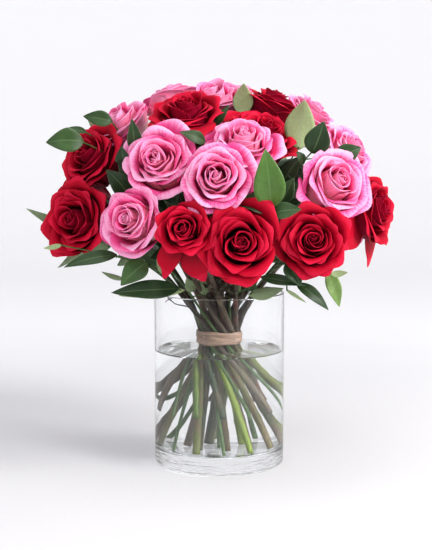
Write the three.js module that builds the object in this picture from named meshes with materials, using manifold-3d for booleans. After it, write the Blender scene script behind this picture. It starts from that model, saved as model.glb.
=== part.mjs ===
// Two dozen roses, twelve red and twelve pink, hand-tied with ruscus in a spiral and standing in a clear
// glass cylinder vase of water. Millimetres, +Z up. The origin is the centre of the vase's foot, and -Y is
// the front.
//
// Each rose is a stem and a bloom. The stems cross inside a raffia tie in rings: every stem of a ring leans
// the same way round, and each ring leans more than the one inside it, so that no two stems meet. Above the
// tie a stem curves out to its bloom on the dome; below it runs straight on until it meets the glass or the
// vase's floor.

import * as THREE from "three";
import { mergeVertices } from "three/addons/utils/BufferGeometryUtils.js";
import Module from "manifold-3d";

const wasm = await Module();
wasm.setup();

// ---------------------------------------------------------------- driving dimensions

const CLEARANCE = 0.35; // between pieces that touch on the real object

const VASE_RADIUS = 75;
const VASE_HEIGHT = 200;
const VASE_WALL = 3.5;
const VASE_FLOOR = 20;
const VASE_EDGE = 1.2; // the fire-polished rounding of the rim
const VASE_FOOT_ROUND = 5;
const VASE_FLOOR_ROUND = 6;
const VASE_FACETS = 48;

const WATER_LEVEL = 132;

const TIE_HEIGHT = 148;
const TIE_WIDTH = 15;
const TIE_THICKNESS = 1.8;
const TIE_SLACK = 0.7; // between the tie and the stems, which begin to spread inside it
const TIE_FACETS = 24;

const ROSE_STEM_RADIUS = 2.8;
const SPRIG_STEM_RADIUS = 1.9;
const STEM_SIDES = 6;
const RING_GAP = 1.2; // air between one ring of stems and the next, at the tie
const RINGS = [
  { count: 1, lean: 0 },
  { count: 6, lean: 12 },
  { count: 12, lean: 24 },
  { count: 14, lean: 38 },
];

const DOME_CENTRE = 266;
const DOME_RADIUS = 168; // to the blooms' widest level, all round
const DOME_RISE = 152; // to the same level at the top
const FOCUS_DROP = 25; // the blooms face away from a point this far under the dome's centre
const SETTLE_ROUNDS = 400;

const SPIRAL_LEAD = 66; // degrees between a stem's place in the tie and the place that it grows towards
const LOWER_BEND = 0.42; // how far a stem keeps its direction at the tie, as a share of its reach above it
const UPPER_BEND = 0.3; // the same at its upper end
const ROSE_STEM_STEPS = 10;
const SPRIG_STEM_STEPS = 9;

const BLOOM_SIDES = 10;
// A bloom's outline from its hip to its face, as shares of its width: radius, height.
const BLOOM_OUTLINE = [
  [0, 0],
  [0.07, 0],
  [0.09, 0.07],
  [0.25, 0.16],
  [0.41, 0.31],
  [0.5, 0.5],
  [0.47, 0.66],
  [0.34, 0.77],
  [0, 0.8],
];
const WIDEST_SHARE = 0.5; // the height of the widest level in that outline

const LEAF_THICKNESS = 1.6;
const LEAF_FOLD = 0.12; // how far the edges lift above the midrib, as a share of the leaf's width
const LEAF_ARCH = 0.05; // how far the middle stands above a line from base to tip, as a share of its length
const LEAF_STATIONS = 6;
const PETIOLE_RADIUS = 0.9;
const PETIOLE_BITE = 3; // how far the petiole runs on into the leaf

// Name, ring at the tie, azimuth from the front towards +X, elevation above the dome's centre, width, and how
// far the bloom stands proud of the dome.
const ROSES = [
  ["red_rose_01", 3, -67, 9, 70, 0],
  ["pink_rose_01", 3, -34, 9, 63, 0],
  ["red_rose_02", 3, -12, 7, 61, 0],
  ["red_rose_03", 3, 7, 1, 75, 0],
  ["red_rose_04", 3, 35, 3, 70, 0],
  ["red_rose_05", 3, 77, 12, 70, 3],
  ["pink_rose_02", 3, 117, 6, 74, 0],
  ["red_rose_06", 3, 159, 4, 76, 0],
  ["pink_rose_03", 3, 201, 6, 76, 0],
  ["red_rose_07", 3, 245, 6, 76, 0],
  ["red_rose_08", 2, -85, 33, 68, 0],
  ["pink_rose_04", 2, -26, 30, 72, 0],
  ["pink_rose_05", 2, -3, 26, 70, 0],
  ["pink_rose_06", 2, 47, 21, 76, 0],
  ["pink_rose_07", 2, 79, 36, 64, 5],
  ["pink_rose_08", 2, 112, 50, 64, 14],
  ["pink_rose_09", 2, -96, 52, 64, 8],
  ["red_rose_09", 2, 177, 34, 76, 0],
  ["red_rose_10", 1, -33, 65, 68, 0],
  ["pink_rose_10", 1, -128, 68, 64, 12],
  ["pink_rose_11", 1, 190, 82, 66, 4],
  ["red_rose_11", 1, 95, 68, 66, 4],
  ["red_rose_12", 1, 30, 54, 60, 0],
  ["pink_rose_12", 1, 14, 43, 60, 0],
];

// Name, ring at the tie, where the stem ends, and the leaves, each with its base, tip and width. A place is
// its azimuth, its elevation and how far it is from the dome's centre.
const SPRIGS = [
  {
    name: "ruscus_sprig_1",
    ring: 2,
    end: [20, 20, 110],
    leaves: [
      [[22, 19, 122], [25, 34, 178], 28],
      [[13, 15, 116], [4, 12, 166], 14],
      [[24, 15, 116], [28, 12, 168], 13],
    ],
  },
  {
    name: "ruscus_sprig_2",
    ring: 2,
    end: [66, 44, 104],
    leaves: [
      [[66, 43, 120], [70, 51, 174], 20],
      [[68, 52, 118], [70, 60, 188], 22],
      [[60, 38, 120], [63, 33, 180], 15],
    ],
  },
  {
    name: "ruscus_sprig_3",
    ring: 0,
    end: [10, 84, 100],
    leaves: [
      [[30, 76, 116], [60, 76, 178], 22],
      [[5, 74, 118], [1, 67, 166], 9],
    ],
  },
  {
    name: "ruscus_sprig_4",
    ring: 2,
    end: [-112, 38, 104],
    leaves: [
      [[-99, 37, 130], [-91, 36, 216], 26],
      [[-112, 36, 130], [-104, 40, 208], 22],
      [[-122, 44, 124], [-118, 47, 196], 26],
      [[-70, 42, 120], [-64, 47, 170], 18],
      [[-138, 38, 124], [-144, 40, 192], 30],
      [[-132, 26, 124], [-137, 24, 192], 28],
      [[-152, 34, 116], [-154, 30, 186], 28],
    ],
  },
  {
    name: "ruscus_sprig_5",
    ring: 3,
    end: [-46, -12, 118],
    leaves: [
      [[-42, -13, 132], [-47, -17, 190], 32],
      [[-26, -14, 134], [-50, -22, 176], 22],
      [[-54, -9, 134], [-63, -10, 196], 20],
    ],
  },
  {
    name: "ruscus_sprig_6",
    ring: 3,
    end: [42, -12, 112],
    leaves: [
      [[34, -15, 130], [17, -15, 172], 22],
      [[44, -17, 130], [48, -25, 178], 15],
      [[52, -13, 136], [56, -23, 184], 16],
      [[58, -8, 130], [66, -11, 186], 20],
    ],
  },
  {
    name: "ruscus_sprig_7",
    ring: 3,
    end: [180, -8, 112],
    leaves: [
      [[170, -10, 130], [158, -15, 192], 28],
      [[190, -10, 130], [204, -15, 192], 28],
      [[180, -14, 126], [181, -22, 184], 24],
      [[180, 2, 126], [180, 8, 188], 24],
    ],
  },
  {
    name: "ruscus_sprig_8",
    ring: 3,
    end: [-88, 0, 118],
    leaves: [
      [[-87, 6, 134], [-86, 8, 222], 20],
      [[-78, -8, 130], [-74, -10, 190], 24],
      [[-102, -8, 130], [-112, -13, 194], 28],
    ],
  },
  {
    name: "ruscus_sprig_9",
    ring: 2,
    end: [146, 26, 108],
    leaves: [
      [[137, 30, 124], [136, 26, 192], 30],
      [[148, 40, 122], [146, 50, 184], 28],
      [[138, 5, 124], [138, -2, 186], 22],
      [[136, 42, 118], [132, 38, 190], 26],
      [[150, 28, 118], [150, 31, 190], 24],
    ],
  },
];

// ---------------------------------------------------------------- small helpers

const UP = new THREE.Vector3(0, 0, 1);
const rad = THREE.MathUtils.degToRad;
const lengths = (...xs) => Math.hypot(...xs);

// The unit vector at an azimuth from the front towards +X and an elevation above the horizon, in degrees.
function bearing(azimuth, elevation = 0) {
  const flat = Math.cos(rad(elevation));
  return new THREE.Vector3(
    Math.sin(rad(azimuth)) * flat,
    -Math.cos(rad(azimuth)) * flat,
    Math.sin(rad(elevation)),
  );
}

function azimuthOf(point) {
  return THREE.MathUtils.euclideanModulo(THREE.MathUtils.radToDeg(Math.atan2(point.x, -point.y)), 360);
}

function domeCentre() {
  return new THREE.Vector3(0, 0, DOME_CENTRE);
}

// A place given by its azimuth, its elevation and its distance from the dome's centre.
function place([azimuth, elevation, reach]) {
  return domeCentre().addScaledVector(bearing(azimuth, elevation), reach);
}

// Where a ray from the dome's centre through a point meets the level of the blooms' widest parts.
function onDome(point) {
  const d = point.clone().sub(domeCentre());
  const reach = 1 / lengths(d.x / DOME_RADIUS, d.y / DOME_RADIUS, d.z / DOME_RISE);
  return domeCentre().addScaledVector(d, reach);
}

function solidOf(geometry) {
  const bare = geometry.clone();
  bare.deleteAttribute("normal");
  bare.deleteAttribute("uv");
  const merged = mergeVertices(bare, 1e-3);
  return new wasm.Manifold(
    new wasm.Mesh({
      numProp: 3,
      vertProperties: new Float32Array(merged.attributes.position.array),
      triVerts: new Uint32Array(merged.index.array),
    }),
  );
}

function geometryOf(solid) {
  const mesh = solid.getMesh();
  const geometry = new THREE.BufferGeometry();
  geometry.setAttribute("position", new THREE.BufferAttribute(new Float32Array(mesh.vertProperties), 3));
  geometry.setIndex(new THREE.BufferAttribute(new Uint32Array(mesh.triVerts), 1));
  geometry.computeVertexNormals();
  return geometry;
}

// A LatheGeometry turned so that its axis is +Z.
function turned(profile, sides) {
  const points = profile.map(([r, h]) => new THREE.Vector2(r, h));
  return new THREE.LatheGeometry(points, sides).rotateX(Math.PI / 2);
}

// Points on a quarter circle in a profile, from one angle to another, in degrees.
function round(r, h, radius, from, to, steps = 3) {
  const points = [];
  for (let i = 0; i <= steps; i++) {
    const a = rad(from + ((to - from) * i) / steps);
    points.push([r + radius * Math.cos(a), h + radius * Math.sin(a)]);
  }
  return points;
}

// A closed bar along a curve, with flat ends.
function bar(curve, radius, steps, sides = STEM_SIDES) {
  const section = new THREE.Shape();
  section.moveTo(radius, 0);
  for (let i = 1; i < sides; i++) {
    const a = (2 * Math.PI * i) / sides;
    section.lineTo(radius * Math.cos(a), radius * Math.sin(a));
  }
  section.closePath();
  return new THREE.ExtrudeGeometry(section, { steps, extrudePath: curve });
}

// ---------------------------------------------------------------- the glass, the water and the tie

const INNER_RADIUS = VASE_RADIUS - VASE_WALL;

function vase() {
  const profile = [
    [0, 0],
    ...round(VASE_RADIUS - VASE_FOOT_ROUND, VASE_FOOT_ROUND, VASE_FOOT_ROUND, -90, 0),
    ...round(VASE_RADIUS - VASE_EDGE, VASE_HEIGHT - VASE_EDGE, VASE_EDGE, 0, 90),
    ...round(INNER_RADIUS + VASE_EDGE, VASE_HEIGHT - VASE_EDGE, VASE_EDGE, 90, 180),
    ...round(INNER_RADIUS - VASE_FLOOR_ROUND, VASE_FLOOR + VASE_FLOOR_ROUND, VASE_FLOOR_ROUND, 0, -90),
    [0, VASE_FLOOR],
  ];
  return turned(profile, VASE_FACETS);
}

// The water fills the vase up to its level and leaves room for every stem, and for a tie that reaches it.
function water(stems, outerRing) {
  const floor = VASE_FLOOR + CLEARANCE;
  const radius = INNER_RADIUS - CLEARANCE;
  const profile = [
    [0, floor],
    ...round(radius - VASE_FLOOR_ROUND, floor + VASE_FLOOR_ROUND, VASE_FLOOR_ROUND, -90, 0),
    [radius, WATER_LEVEL],
    [0, WATER_LEVEL],
  ];
  let solid = solidOf(turned(profile, VASE_FACETS));
  for (const { path, radius: stemRadius, steps } of stems) {
    const hole = stemRadius + CLEARANCE;
    const foot = path.getPoint(0);
    const below = foot.clone().addScaledVector(path.getTangent(0), -CLEARANCE);
    solid = solid.subtract(solidOf(bar(path, hole, steps)));
    solid = solid.subtract(solidOf(bar(new THREE.LineCurve3(below, foot), hole, 1)));
  }
  return geometryOf(solid.subtract(solidOf(raffiaTie(outerRing, CLEARANCE))));
}

// The tie's band, or the room that it takes up in the water when it is grown all round.
function raffiaTie(outerRing, growth = 0) {
  const stretch = (TIE_WIDTH / 2) * Math.tan(rad(outerRing.lean));
  const face = lengths(outerRing.radius, stretch) + ROSE_STEM_RADIUS + TIE_SLACK;
  const inner = face - growth;
  const outer = face + TIE_THICKNESS + growth;
  const low = TIE_HEIGHT - TIE_WIDTH / 2 - growth;
  const high = TIE_HEIGHT + TIE_WIDTH / 2 + growth;
  const middle = outer + TIE_THICKNESS / 3; // the band's face stands a little proud at mid-height
  const band = [[outer, low], [middle, TIE_HEIGHT], [outer, high]];
  return turned([[inner, low], ...band, [inner, high], [inner, low]], TIE_FACETS);
}

// ---------------------------------------------------------------- the blooms

function placeRoses() {
  const roses = ROSES.map(([name, ring, azimuth, elevation, width, proud]) => ({
    name,
    ring,
    width,
    proud,
    centre: onDome(domeCentre().add(bearing(azimuth, elevation))),
  }));
  // Blooms that crowd each other slide apart over the dome until every pair is clear.
  for (let turn = 0; turn < SETTLE_ROUNDS; turn++) {
    for (const a of roses) {
      for (const b of roses) {
        const apart = b.centre.clone().sub(a.centre);
        const lack = (a.width + b.width) / 2 + CLEARANCE - apart.length();
        if (a === b || lack <= 0) continue;
        apart.setLength(lack / 4);
        a.centre = onDome(a.centre.clone().sub(apart));
        b.centre = onDome(b.centre.clone().add(apart));
      }
    }
  }
  const focus = domeCentre().addScaledVector(UP, -FOCUS_DROP);
  for (const rose of roses) {
    rose.axis = rose.centre.clone().sub(focus).normalize();
    rose.centre.addScaledVector(rose.axis, rose.proud);
    rose.base = rose.centre.clone().addScaledVector(rose.axis, -WIDEST_SHARE * rose.width);
    rose.azimuth = azimuthOf(rose.centre);
    rose.radius = ROSE_STEM_RADIUS;
    rose.steps = ROSE_STEM_STEPS;
    rose.end = rose.base.clone().addScaledVector(rose.axis, -CLEARANCE);
  }
  return roses;
}

function bloom(rose) {
  return turned(BLOOM_OUTLINE.map(([r, h]) => [r * rose.width, h * rose.width]), BLOOM_SIDES);
}

// ---------------------------------------------------------------- the stems

// A ring of stems is shared out evenly round the tie, in the order of the places that they grow towards.
function placeStems(items) {
  const rings = RINGS.map(({ count, lean }, i) => ({
    count,
    lean,
    radius: i * (2 * ROSE_STEM_RADIUS + RING_GAP),
    members: items.filter((item) => item.ring === i).sort((a, b) => a.azimuth - b.azimuth),
  }));
  for (const { count, lean, radius, members } of rings) {
    const step = 360 / count;
    const offsets = members.map((item, slot) => item.azimuth - slot * step);
    const start = offsets.reduce((sum, a) => sum + a, 0) / members.length + SPIRAL_LEAD;
    members.forEach((item, slot) => {
      const azimuth = start + slot * step;
      item.waist = bearing(azimuth).multiplyScalar(radius).setZ(TIE_HEIGHT);
      item.path = stemPath(item, lean, bearing(azimuth - 90, 90 - lean));
    });
  }
  return rings;
}

// From the cut foot straight up through the tie, then in one curve to the bloom or the sprig's tip.
function stemPath({ waist, radius, end, axis }, lean, direction) {
  const across = Math.sin(rad(lean));
  const upright = Math.cos(rad(lean));
  const room = INNER_RADIUS - radius / upright - CLEARANCE;
  const toFloor = (TIE_HEIGHT - VASE_FLOOR - CLEARANCE - radius * across) / upright;
  const toWall = across > 0 ? Math.sqrt(room ** 2 - waist.x ** 2 - waist.y ** 2) / across : toFloor;
  const foot = waist.clone().addScaledVector(direction, -Math.min(toFloor, toWall));
  const reach = end.distanceTo(waist);
  const path = new THREE.CurvePath();
  path.add(new THREE.LineCurve3(foot, waist));
  path.add(
    new THREE.CubicBezierCurve3(
      waist,
      waist.clone().addScaledVector(direction, LOWER_BEND * reach),
      end.clone().addScaledVector(axis, -UPPER_BEND * reach),
      end,
    ),
  );
  return path;
}

// ---------------------------------------------------------------- the foliage

function placeSprigs() {
  return SPRIGS.map(({ name, ring, end, leaves }) => ({
    name,
    ring,
    leaves,
    end: place(end),
    axis: bearing(end[0], end[1]),
    azimuth: THREE.MathUtils.euclideanModulo(end[0], 360),
    radius: SPRIG_STEM_RADIUS,
    steps: SPRIG_STEM_STEPS,
  }));
}

// A pointed oval blade, folded along its midrib and gently arched, with its upper face away from the dome.
function blade(base, tip, width) {
  const along = tip.clone().sub(base);
  const length = along.length();
  along.normalize();
  const outward = base.clone().lerp(tip, 0.5).sub(domeCentre());
  const across = along.clone().cross(outward).normalize();
  const upper = across.clone().cross(along);
  const geometry = new THREE.SphereGeometry(1, 4, LEAF_STATIONS);
  const position = geometry.attributes.position;
  for (let i = 0; i < position.count; i++) {
    const share = 1 - Math.acos(THREE.MathUtils.clamp(position.getY(i), -1, 1)) / Math.PI;
    const side = position.getX(i);
    const lift = (LEAF_THICKNESS / 2) * position.getZ(i) + LEAF_FOLD * width * Math.abs(side);
    const arch = LEAF_ARCH * length * Math.sin(Math.PI * share);
    const point = base.clone();
    point.addScaledVector(along, share * length);
    point.addScaledVector(across, (side * width) / 2);
    point.addScaledVector(upper, lift + arch);
    position.setXYZ(i, point.x, point.y, point.z);
  }
  return geometry;
}

function sprig({ path, radius, steps, leaves }) {
  const joints = path.getSpacedPoints(steps);
  const middles = joints.slice(1).map((p, i) => p.clone().add(joints[i]).multiplyScalar(0.5));
  let solid = solidOf(bar(path, radius, steps));
  for (const [baseAt, tipAt, width] of leaves) {
    const base = place(baseAt);
    const tip = place(tipAt);
    const inside = base.clone().lerp(tip, PETIOLE_BITE / base.distanceTo(tip));
    const [node] = middles.toSorted((a, b) => a.distanceTo(base) - b.distanceTo(base));
    const petiole = bar(new THREE.LineCurve3(node, inside), PETIOLE_RADIUS, 1, 4);
    solid = solid.add(solidOf(petiole)).add(solidOf(blade(base, tip, width)));
  }
  return geometryOf(solid);
}

// ---------------------------------------------------------------- the whole arrangement

function finish(color, roughness, extra = {}) {
  return new THREE.MeshStandardMaterial({ color, roughness, metalness: 0, ...extra });
}

function piece(name, geometry, material) {
  const mesh = new THREE.Mesh(geometry, material);
  mesh.name = name;
  return mesh;
}

const roses = placeRoses();
const sprigs = placeSprigs();
const rings = placeStems([...roses, ...sprigs]);

const seeThrough = { transparent: true, opacity: 0.3 };

const arrangement = new THREE.Group();

const holder = new THREE.Group();
holder.add(piece("vase", vase(), finish(0xf4f8f8, 0.03, seeThrough)));
holder.add(piece("water", water([...roses, ...sprigs], rings.at(-1)), finish(0xeef4f2, 0.02, seeThrough)));
holder.add(piece("raffia_tie", raffiaTie(rings.at(-1)), finish(0xc8a58c, 0.9)));
arrangement.add(holder);

const flowers = new THREE.Group();
for (const rose of roses) {
  const red = rose.name.startsWith("red");
  const head = piece(rose.name, bloom(rose), finish(red ? 0xc8051c : 0xf48cb8, red ? 0.55 : 0.6));
  head.position.copy(rose.base);
  head.quaternion.setFromUnitVectors(UP, rose.axis);
  flowers.add(head);
  flowers.add(piece(`${rose.name}_stem`, bar(rose.path, rose.radius, rose.steps), finish(0x5f6f34, 0.6)));
}
arrangement.add(flowers);

const foliage = new THREE.Group();
for (const item of sprigs) {
  foliage.add(piece(item.name, sprig(item), finish(0x2c4a25, 0.4)));
}
arrangement.add(foliage);

export default arrangement;
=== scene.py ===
import math

import bmesh
import bpy
import numpy as np
from mathutils import Matrix, Vector


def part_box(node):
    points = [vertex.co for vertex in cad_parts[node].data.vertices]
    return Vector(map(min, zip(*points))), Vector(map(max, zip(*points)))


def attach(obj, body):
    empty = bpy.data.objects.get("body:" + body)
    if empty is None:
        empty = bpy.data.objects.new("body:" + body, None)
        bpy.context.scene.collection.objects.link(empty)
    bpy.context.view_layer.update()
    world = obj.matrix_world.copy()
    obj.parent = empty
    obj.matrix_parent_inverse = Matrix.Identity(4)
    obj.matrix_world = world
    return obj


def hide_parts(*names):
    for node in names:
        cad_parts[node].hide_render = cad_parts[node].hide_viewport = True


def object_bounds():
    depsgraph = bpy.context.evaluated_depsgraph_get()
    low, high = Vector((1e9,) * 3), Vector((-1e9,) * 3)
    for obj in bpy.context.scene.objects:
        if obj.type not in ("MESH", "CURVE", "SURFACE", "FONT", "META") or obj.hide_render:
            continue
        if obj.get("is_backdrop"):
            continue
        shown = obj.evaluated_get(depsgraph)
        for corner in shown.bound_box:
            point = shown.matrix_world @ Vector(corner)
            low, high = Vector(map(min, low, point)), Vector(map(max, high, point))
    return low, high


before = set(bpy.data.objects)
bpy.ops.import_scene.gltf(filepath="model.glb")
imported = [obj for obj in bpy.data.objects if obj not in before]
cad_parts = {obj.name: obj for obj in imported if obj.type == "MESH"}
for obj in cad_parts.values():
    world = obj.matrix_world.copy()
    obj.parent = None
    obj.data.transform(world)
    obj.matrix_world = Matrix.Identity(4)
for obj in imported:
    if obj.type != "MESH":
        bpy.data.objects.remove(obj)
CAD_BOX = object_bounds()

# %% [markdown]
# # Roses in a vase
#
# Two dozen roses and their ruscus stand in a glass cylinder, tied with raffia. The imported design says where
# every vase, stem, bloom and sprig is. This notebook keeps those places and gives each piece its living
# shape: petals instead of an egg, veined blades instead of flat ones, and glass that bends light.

MM = 0.001
UP = Vector((0, 0, 1))
print("the design has", len(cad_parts), "nodes, in a box of", CAD_BOX)

# %% [markdown]
# ## The camera
#
# The vase is looked at from the front, a little above the height of its rim, with a long lens that keeps
# its sides nearly upright.

# %% The camera
eye = bpy.data.cameras.new("camera")
eye.sensor_fit = "VERTICAL"
eye.sensor_height = 36
eye.lens = 85.6
eye.clip_end = 20
camera = bpy.data.objects.new("camera", eye)
bpy.context.collection.objects.link(camera)
camera.location = (-0.0038, -1.5, 0.39)
camera.rotation_euler = (math.radians(90 - 6.5), 0, 0)
bpy.context.scene.camera = camera
print("the camera stands at", tuple(camera.location))

# %% [markdown]
# ## Reading the design
#
# A node comes as loose triangles. Merged by distance they become one skin again, and the skin tells where
# things are: a stem is a row of six-sided rings, so short edges join the corners of one ring and long ones
# run to the next. The middle of each ring is a point on the stem's centreline.

# %% Merge a node's triangles and gather its rings
WELD = 0.02 * MM
RING_SIDES = 6


def skin_of(name):
    """The node's skin, merged, as a bmesh of its own."""
    skin = bmesh.new()
    skin.from_mesh(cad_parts[name].data)
    bmesh.ops.remove_doubles(skin, verts=skin.verts[:], dist=WELD)
    skin.verts.ensure_lookup_table()
    return skin


def groups_of(verts, joined):
    """Sets of vertices that are linked by edges for which joined(edge) holds."""
    left, groups = set(verts), []
    while left:
        group, front = set(), [left.pop()]
        while front:
            v = front.pop()
            group.add(v)
            for e in v.link_edges:
                w = e.other_vert(v)
                if w in left and joined(e):
                    left.discard(w)
                    front.append(w)
        groups.append(group)
    return groups


def rings_of(skin, radius):
    """The centres of the stem's whole rings, from its foot up."""
    centres = []
    for group in groups_of(skin.verts, lambda e: e.calc_length() < 1.3 * radius):
        middle = sum((v.co for v in group), Vector()) / len(group)
        even = all(abs((v.co - middle).length - radius) < 0.05 * MM for v in group)
        if len(group) == RING_SIDES and even:
            centres.append(middle)
    return sorted(centres, key=lambda c: c.z)


# %% The centrelines of the stems and sprigs
ROSE_STEM_RADIUS = 2.8 * MM
SPRIG_STEM_RADIUS = 1.9 * MM
ROSES = sorted(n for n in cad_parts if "_rose_" in n and not n.endswith("_stem"))
SPRIGS = sorted(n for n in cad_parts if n.startswith("ruscus"))
STEM_LINES = {n: rings_of(skin_of(n + "_stem"), ROSE_STEM_RADIUS) for n in ROSES}
SPRIG_LINES = {n: rings_of(skin_of(n), SPRIG_STEM_RADIUS) for n in SPRIGS}
print(len(ROSES), "roses with", {len(line) for line in STEM_LINES.values()}, "points to a stem")
print(len(SPRIGS), "sprigs with", {len(line) for line in SPRIG_LINES.values()}, "points to a twig")

# %% [markdown]
# A bloom stands on the top of its stem. Its axis runs from there to the middle of the bloom's corners, and
# its width is twice the distance of the farthest corner from that axis. The bloom gets a frame of its own:
# Z along the axis, and -Y on the side that hangs lowest, so that a petal which droops can be put there.

# %% Each bloom's frame and width


def frame_along(origin, axis):
    """A frame at origin with Z along the axis and -Y towards the ground."""
    across = UP.cross(axis)
    if across.length < 0.05:
        across = Vector((1, 0, 0))
    x = across.normalized()
    y = axis.cross(x).normalized()
    return Matrix.Translation(origin) @ Matrix((x, y, axis)).transposed().to_4x4()


def read_bloom(name):
    """The frame and the width of the bloom."""
    points = [v.co.copy() for v in skin_of(name).verts]
    base = STEM_LINES[name][-1]
    axis = (sum(points, Vector()) / len(points) - base).normalized()
    half = max((p - base - axis * (p - base).dot(axis)).length for p in points)
    return frame_along(base, axis), 2 * half


BLOOMS = {n: read_bloom(n) for n in ROSES}
print("blooms of", sorted({round(w / MM) for _, w in BLOOMS.values()}), "mm")

# %% [markdown]
# In the design the blooms are kept apart, each a little smaller than life. Real ones press into each other,
# and some turn their faces aside, towards the light. So the petals are made at their real size round the
# middle of the design's bloom, and a bloom may nod by a limited angle towards the side that it really
# faces.

# %% Where each bloom faces, as an azimuth from the front and an elevation, and how it is shifted, in mm
FACING = {
    "red_rose_01": (-20, 8), "red_rose_08": (-30, 26), "pink_rose_04": (-12, 24), "pink_rose_01": (-30, 14),
    "pink_rose_05": (-2, 14), "red_rose_02": (-5, 12), "red_rose_03": (-2, 8), "red_rose_04": (0, 14),
    "pink_rose_06": (24, 24), "pink_rose_12": (4, 54), "red_rose_10": (-10, 58), "red_rose_05": (62, 8),
    "pink_rose_07": (58, 34), "red_rose_12": (34, 52), "pink_rose_09": (-60, 46), "pink_rose_08": (70, 50),
    "pink_rose_11": (-30, 62),
}
SHIFT = {
    "red_rose_01": (-6, 0, -4), "red_rose_08": (-4, 0, 7),
    "red_rose_05": (9, 0, -4), "pink_rose_07": (13, 0, -3),
    "pink_rose_05": (1, 0, 7), "pink_rose_09": (-11, 9, -6),
    "pink_rose_10": (-2, 0, 3), "red_rose_12": (-6, 0, -19),
    "red_rose_11": (-5, 0, 0), "red_rose_02": (5, 0, 7),
    "pink_rose_08": (-3, 0, 8), "pink_rose_06": (10, 0, 0),
    "pink_rose_12": (-3, 0, -4), "red_rose_10": (-1, 0, -3),
    "pink_rose_11": (-6, 0, -7), "red_rose_04": (4, 0, 0),
    "red_rose_03": (-3, 0, 5), "pink_rose_04": (2, 0, 3), "pink_rose_01": (5, 0, 1),
}
NOD = math.radians(36)


def direction(azimuth, elevation):
    a, e = math.radians(azimuth), math.radians(elevation)
    return Vector((math.sin(a) * math.cos(e), -math.cos(a) * math.cos(e), math.sin(e)))


def living_bloom(name):
    """The frame and width of the bloom as it grows, turned and shifted round its middle."""
    frame_of, width = BLOOMS[name]
    axis = frame_of.col[2].xyz.normalized()
    middle = frame_of.translation + axis * 0.45 * width
    if name in FACING:
        wish = direction(*FACING[name])
        share = min(1.0, NOD / max(axis.angle(wish), 1e-6))
        axis = axis.slerp(wish, share).normalized()
    middle = middle + Vector(SHIFT.get(name, (0, 0, 0))) * MM
    living = REAL_WIDTH.get(name, 84) * MM
    return frame_along(middle - axis * 0.43 * living, axis), living


REAL_WIDTH = {
    "red_rose_03": 79, "pink_rose_06": 88, "pink_rose_04": 82, "red_rose_02": 66, "pink_rose_01": 79,
    "red_rose_06": 82, "pink_rose_03": 82, "red_rose_07": 82, "red_rose_09": 82, "pink_rose_02": 82,
    "pink_rose_10": 76, "pink_rose_11": 92, "red_rose_11": 80, "pink_rose_08": 78, "pink_rose_07": 74,
    "pink_rose_05": 79, "red_rose_04": 79, "pink_rose_09": 80,
}
LIVING = {n: living_bloom(n) for n in ROSES}
print("living blooms of", sorted({round(w / MM) for _, w in LIVING.values()}), "mm")

# %% [markdown]
# ## Keeping pieces tidy
#
# Every finished piece keeps its place in its mesh, with the object itself at the origin. It moves with the
# one body of the design, takes its material, and may stand for nodes of the design, which then hide.

# %% Helpers for pieces


def only(obj):
    """Leave one object selected and active."""
    if bpy.context.object and bpy.context.object.mode != "OBJECT":
        bpy.ops.object.mode_set(mode="OBJECT")
    bpy.ops.object.select_all(action="DESELECT")
    obj.select_set(True)
    bpy.context.view_layer.objects.active = obj


def made(name):
    """Name the object that an operator has just added, and settle its place into its mesh."""
    obj = bpy.context.object
    obj.name = obj.data.name = name
    bpy.ops.object.transform_apply(location=True, rotation=True, scale=True)
    return obj


def apply(obj, kind, **settings):
    """Add a modifier with these settings and apply it."""
    only(obj)
    modifier = obj.modifiers.new(kind.lower(), kind)
    for key, value in settings.items():
        setattr(modifier, key, value)
    bpy.ops.object.modifier_apply(modifier=modifier.name)


def copy_of(obj, name):
    """A copy with its own mesh."""
    twin = obj.copy()
    twin.data = obj.data.copy()
    twin.name = twin.data.name = name
    bpy.context.collection.objects.link(twin)
    return twin


def joined_as(name, parts):
    """One object made of all the parts."""
    only(parts[0])
    for part in parts:
        part.select_set(True)
    if len(parts) > 1:
        bpy.ops.object.join()
    obj = bpy.context.object
    obj.name = obj.data.name = name
    return obj


def points_of(obj):
    """The mesh's points as rows of an array."""
    flat = np.empty(3 * len(obj.data.vertices), dtype=np.float32)
    obj.data.vertices.foreach_get("co", flat)
    return flat.reshape(-1, 3).astype(float)


def place(obj, points):
    """Move the mesh's points to these rows."""
    obj.data.vertices.foreach_set("co", np.asarray(points, dtype=np.float32).ravel())
    obj.data.update()


def note(obj, name, values):
    """Write one number per point, for a material to read."""
    record = obj.data.attributes.new(name, "FLOAT", "POINT")
    record.data.foreach_set("value", np.asarray(values, dtype=np.float32).ravel())


def settle(obj, material, slot, *nodes):
    """Finish a piece: its material, its body and the nodes that it stands for; the slot is not used."""
    obj.data.materials.clear()
    obj.data.materials.append(material)
    obj.data.polygons.foreach_set("use_smooth", [True] * len(obj.data.polygons))
    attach(obj, "root")
    if nodes:
        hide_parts(*nodes)
    return obj


# %% [markdown]
# ## Writing materials
#
# A material is a sum of small steps. Two classes let them be written as they are thought of: Value wraps a
# number that changes over the surface, so that `1 - edge ** 2` adds its own Math nodes, and Finish wraps a
# material, adds its other nodes and feeds its shader.

# %% Value and Finish


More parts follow.
